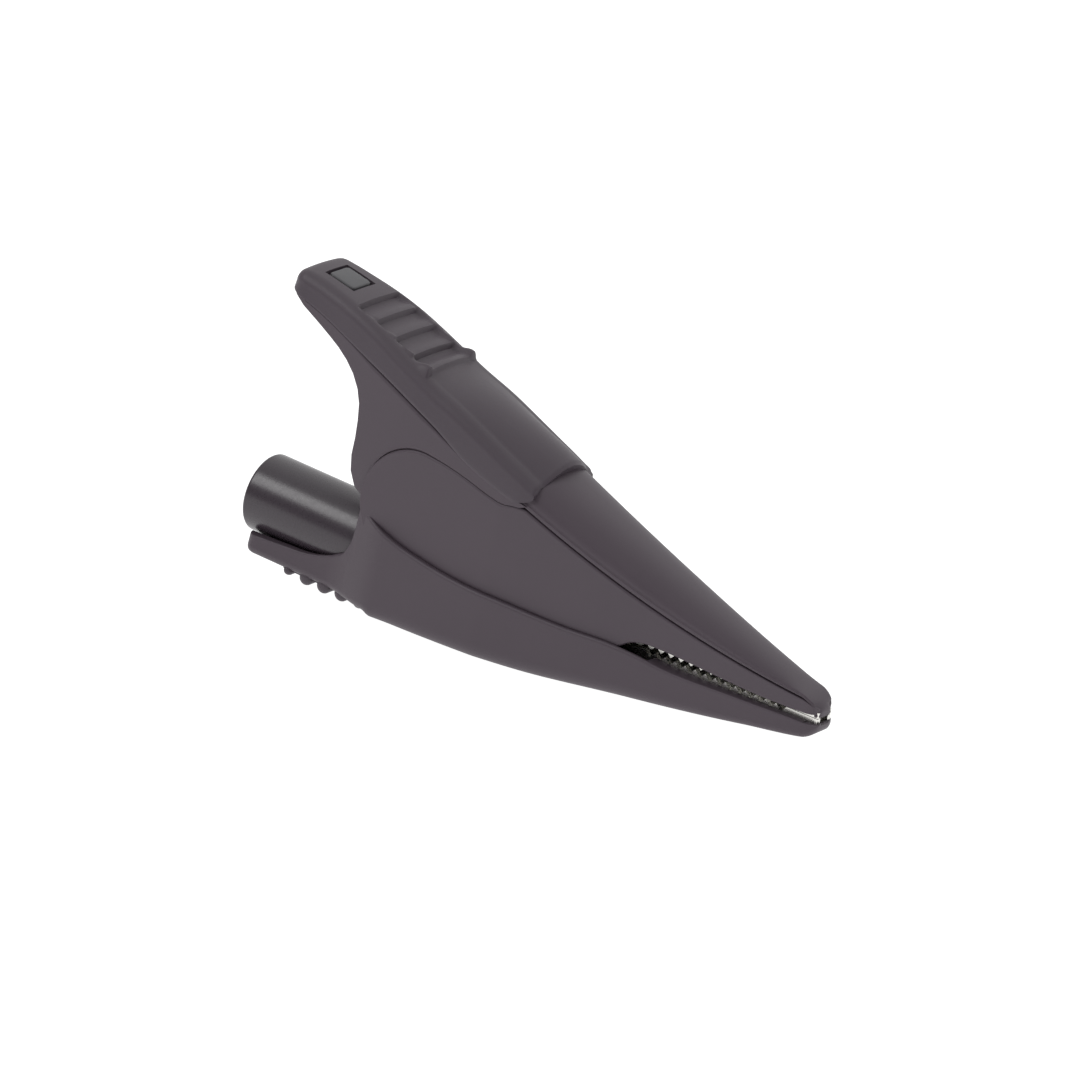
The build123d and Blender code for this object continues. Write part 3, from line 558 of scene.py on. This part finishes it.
rear_x = PAD_REAR + 3.2 * (1 - np.cos(np.linspace(0.12, np.pi / 2, 14)))
plain = np.concatenate([rear_x[:-1], np.linspace(rear_x[-1], PAD_LAST, 150)])
special = [WINDOW_AT + side * (WINDOW + gap) for side in (-1, 1) for gap in (-0.06, 0.0)]
special += [step + gap for step in STEPS for gap in (0, STEP_FACE / 2, STEP_FACE)]
plain = plain[[min(abs(s - p) for s in special) > 0.07 for p in plain]]
s = np.sort(np.concatenate([plain, special]))[:, None]
half = lever_half(s) + 0.1
rim_z = border(s) + 0.1
top = pad_top(s) - 0.15
edge_r = 0.06 + 0.44 * eased(11, 22, s)
turn = np.radians(np.linspace(0, 90, 5))[None, :]
skirt_y = half - edge_r * (1 - np.sin(turn))
skirt_z = rim_z + edge_r * (1 - np.cos(turn))
shoulder_r = np.minimum(SHOULDER, (top - rim_z) * 0.55)
shoulder_z = top - 0.95 * shoulder_r
side = np.linspace(0.15, 1, 5)[None, :]
side_y = half - SIDE_LEAN * side
side_z = skirt_z[:, -1:] + (shoulder_z - skirt_z[:, -1:]) * side
turn = np.radians(np.linspace(9, 90, 10))[None, :]
bend_y = half - SIDE_LEAN - shoulder_r * (1 - np.cos(turn))
bend_z = top - 0.95 * shoulder_r * (1 - np.sin(turn))
flat = bend_y[:, -1:]
near = np.array([[3.0, WINDOW, WINDOW - 0.06, 1.8, 0.9, 0.0]])
far = flat + (3.0 - flat) * np.linspace(0.12, 0.9, 6)[None, :]
flat_y = np.concatenate([far, near + 0 * s], 1)
camber = 0.15 + CAMBER * eased(20, 50, s)
flat_z = top + camber * (1 - (flat_y / flat) ** 2)
y = np.concatenate([half * 0, half * 0.6, skirt_y, side_y, bend_y, flat_y], 1)
z = np.concatenate([rim_z + 0.3, rim_z + 0.3, skirt_z, side_z, bend_z, flat_z], 1)
lowness = np.clip((shoulder_z - z) / (shoulder_z - rim_z), 0, 1)
swept = 0.9 * (np.minimum(y, 6) / 6) ** 2 + (PAD_SWEEP - 0.9) * lowness**1.7
x = s - swept * eased(30, PAD_LAST, s) + (PAD_FRONT - PAD_LAST) * eased(46, PAD_LAST, s)
upper = z > top - 1.2
z = z + (saw(x, y) - WINDOW_DEPTH * window(x, y)) * upper
z = z - rounded_off(s, PAD_LAST, 0.5, 0.4) * upper
ring_y, ring_z = ring_of(y, z)
ring_x = np.concatenate([x, x[:, -2:0:-1]], 1)
cap = loft(placed(ring_x, ring_y, ring_z))
pad = piece("thumb_pad_skin", [cap], "upper_half", ["thumb_pad"], sharp=50)
dress(pad, rubbery)

# --- Thumb plate ---------------------------------------------------------------------
# A square plate of harder plastic is set into the pad's window, with a fine gap all round.
PLATE = 2.3
a = np.linspace(0, 2 * np.pi, 49)[None, :-1]
grow = np.array([0.86, 0.93, 0.975, 1.0, 1.0])[:, None]
sunk = np.array([0.0, 0.02, 0.09, 0.25, 0.8])[:, None]
square = np.minimum(PLATE / np.maximum(np.abs(np.cos(a)), np.abs(np.sin(a))), PLATE * 1.33)
x = WINDOW_AT + square * np.cos(a) * grow
rings = placed(x, square * np.sin(a) * grow, pad_top(x) - sunk)
plate = piece("thumb_plate", [loft(rings)], "upper_half", ["thumb_inlay"])

hard = grained((0.055, 0.054, 0.060), (0.064, 0.063, 0.068), 0.45, 0.16, 0.008)
dress(plate, make_material("plate_plastic", hard, Specular_IOR_Level=0.5))

# --- Socket ----------------------------------------------------------------------------
# A glossy tube stands round an insulated core, and in the core sits the contact, nickel
# plated like the screw that holds it to the bulkhead.

glossy = grained((0.030, 0.022, 0.029), (0.037, 0.028, 0.036), 0.28, 0.5, 0.003)
dress(nodes["socket_sleeve"], make_material("sleeve_plastic", glossy, Specular_IOR_Level=0.5))
dull = grained((0.020, 0.020, 0.021), (0.028, 0.028, 0.029), 0.5, 0.3, 0.01)
dress(nodes["socket_core"], make_material("core_plastic", dull, Specular_IOR_Level=0.4))


def plated(dark, light, rough, streak, depth):
    """Metal: noise squeezed across its length makes streaks in shade, gloss and height."""
    def build(wire):
        place = wire.add("ShaderNodeTexCoord", {}, {}, out="Object")
        drawn = wire.add("ShaderNodeMapping", {}, {"Vector": place, "Scale": (0.15, 1.0, 1.0)})
        sockets = {"Vector": drawn, "Scale": 1 / (streak * MM), "Detail": 3.0}
        lines = wire.add("ShaderNodeTexNoise", {}, sockets)
        shade = mixed(wire, noise(wire, 3.0), dark, light)
        bump = wire.add("ShaderNodeBump", {}, {"Height": lines, "Strength": 0.5, "Distance": depth * MM})
        return {"Base Color": shade, "Roughness": rough + (lines - 0.5) * 0.2, "Normal": bump}
    return build


turned = plated((0.62, 0.60, 0.55), (0.74, 0.72, 0.66), 0.25, 0.25, 0.006)
nickel_contact = make_material("nickel_contact", turned, Metallic=1.0)
for name in ("socket_contact", "contact_screw"):
    dress(nodes[name], nickel_contact)

# --- Jaws --------------------------------------------------------------------------------
# Both jaws are pressed from sheet and nickel plated, with faint streaks from rolling.
pressed = plated((0.62, 0.61, 0.58), (0.78, 0.77, 0.73), 0.28, 0.2, 0.01)
nickel_jaw = make_material("nickel_jaw", pressed, Metallic=1.0)
for name in ("lower_jaw", "upper_jaw"):
    dress(nodes[name], nickel_jaw)

# --- Hinge pin ---------------------------------------------------------------------------
# The pin and the washers under its rivet heads are zinc-plated steel.
zinc = plated((0.5, 0.51, 0.53), (0.62, 0.63, 0.66), 0.34, 0.3, 0.008)
zinc_fastener = make_material("zinc_fastener", zinc, Metallic=1.0)
for name in ("pivot_pin", "pivot_washers"):
    dress(nodes[name], zinc_fastener)

# --- Spring ----------------------------------------------------------------------------
# A torsion spring of drawn wire is wound round the hinge pin. One leg bears on each jaw.
# It is drawn in one fixed shape, not wound up as the clip opens.
WIRE_R, COIL_R, COIL_TURNS, COIL_PITCH = 0.55, 3.0, 4 + 130 / 360, 1.15
LOWER_LEG, UPPER_LEG = 5.2, 13.5

turn = np.linspace(0, 2 * np.pi * COIL_TURNS, 200)
rise = COIL_PITCH / (2 * np.pi)
coil_x, coil_z = PIVOT[0] + COIL_R * np.sin(turn), PIVOT[1] - COIL_R * np.cos(turn)
coil = np.stack([coil_x, rise * turn - COIL_TURNS * COIL_PITCH / 2, coil_z], -1)
heading = unit(np.stack([COIL_R * np.cos(turn), 0 * turn + rise, COIL_R * np.sin(turn)], -1))
radial = np.stack([np.sin(turn), 0 * turn, -np.cos(turn)], -1)
path = np.concatenate([coil[:1] - heading[:1] * LOWER_LEG, coil, coil[-1:] + heading[-1:] * UPPER_LEG])
heading = np.concatenate([heading[:1], heading, heading[-1:]])
radial = np.concatenate([radial[:1], radial, radial[-1:]])
binormal = np.cross(heading, radial)
a = np.linspace(0, 2 * np.pi, 15)[:-1][None, :, None]
tube = path[:, None] + WIRE_R * (np.cos(a) * radial[:, None] + np.sin(a) * binormal[:, None])
wound = loft(placed(tube[..., 0], tube[..., 1], tube[..., 2]))
spring = piece("spring_wire", [wound], None, ["torsion_spring"])
hinge = placed(PIVOT[0], np.array([-2.5, 2.5]), PIVOT[1])
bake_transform(spring)

drawn_wire = plated((0.36, 0.36, 0.37), (0.46, 0.46, 0.47), 0.3, 0.12, 0.01)
dress(spring, make_material("drawn_wire", drawn_wire, Metallic=1.0))

# --- Table, light and camera --------------------------------------------------------------
# The clip lies on a seamless white table, in an even studio light that comes from behind
# and above, and is seen from ahead of its right side.
TABLE_HALF = 30.0  # metres
AZIMUTH, ELEVATION, ROLL = np.radians([33.45, 18.5, 4.7])
DISTANCE = 1.3006
middle = Vector(placed(47.04, 0.0, 10.86))

mesh = bpy.data.meshes.new("table")
signs = [(-1, -1), (1, -1), (1, 1), (-1, 1)]
level_z = cad_box[0][2] - 0.0001
mesh.from_pydata([(TABLE_HALF * u, TABLE_HALF * v, level_z) for u, v in signs], [], [(0, 1, 2, 3)])
table = bpy.data.objects.new("table", mesh)
bpy.context.collection.objects.link(table)
white = {"Base_Color": (0.3, 0.3, 0.3, 1), "Roughness": 0.9, "Specular_IOR_Level": 0.0}
lit = {"Emission_Color": (1, 1, 1, 1), "Emission_Strength": 1.0}
dress(table, make_material("white_table", lambda wire: {}, **white, **lit))

world = bpy.data.worlds.new("studio")
bpy.context.scene.world = world
world.use_nodes = True
sky = Wire(world.node_tree)
way = sky.add("ShaderNodeTexCoord", {}, {}, out="Generated")
behind = sky.add("ShaderNodeSeparateXYZ", {}, {"Vector": way}, out=1)
above = sky.add("ShaderNodeSeparateXYZ", {}, {"Vector": way}, out=2)
from_to = {0: behind, 1: -0.35, 2: 0.9, 3: 0.18, 4: 1.05}
wide = sky.add("ShaderNodeMapRange", {"interpolation_type": "SMOOTHSTEP"}, from_to)
glow = wide * (1 - above * 0.3) + above * above * 0.85
background = world.node_tree.nodes["Background"]
world.node_tree.links.new(glow.socket, background.inputs["Color"])
background.inputs["Strength"].default_value = 1.0


def soft_box(name, azimuth, elevation, distance, size, power):
    """A square area light that faces the clip's middle."""
    a, e = np.radians([azimuth, elevation])
    back = Vector((np.sin(a) * np.cos(e), -np.cos(a) * np.cos(e), np.sin(e)))
    light = bpy.data.lights.new(name, "AREA")
    light.size, light.energy = size, power
    made = bpy.data.objects.new(name, light)
    facing = back.to_track_quat("Z", "Y").to_matrix().to_4x4()
    made.matrix_world = Matrix.Translation(middle + back * distance) @ facing
    bpy.context.collection.objects.link(made)


soft_box("front_left", -40, 42, 1.0, 0.42, 3.0)

ahead, sideways = np.sin(AZIMUTH), np.cos(AZIMUTH)
toward = Vector((ahead * np.cos(ELEVATION), -sideways * np.cos(ELEVATION), np.sin(ELEVATION)))
level = Vector((sideways, ahead, 0.0))
right = level * np.cos(ROLL) + toward.cross(level) * np.sin(ROLL)
view = bpy.data.cameras.new("view")
view.lens, view.sensor_width = 300, 36
view.clip_start, view.clip_end = 0.05, 100
camera = bpy.data.objects.new("view", view)
axes = Matrix([right, toward.cross(right), toward]).transposed()
camera.matrix_world = Matrix.Translation(middle + toward * DISTANCE) @ axes.to_4x4()
bpy.context.collection.objects.link(camera)
bpy.context.scene.camera = camera
bpy.context.scene.view_settings.view_transform = "Standard"
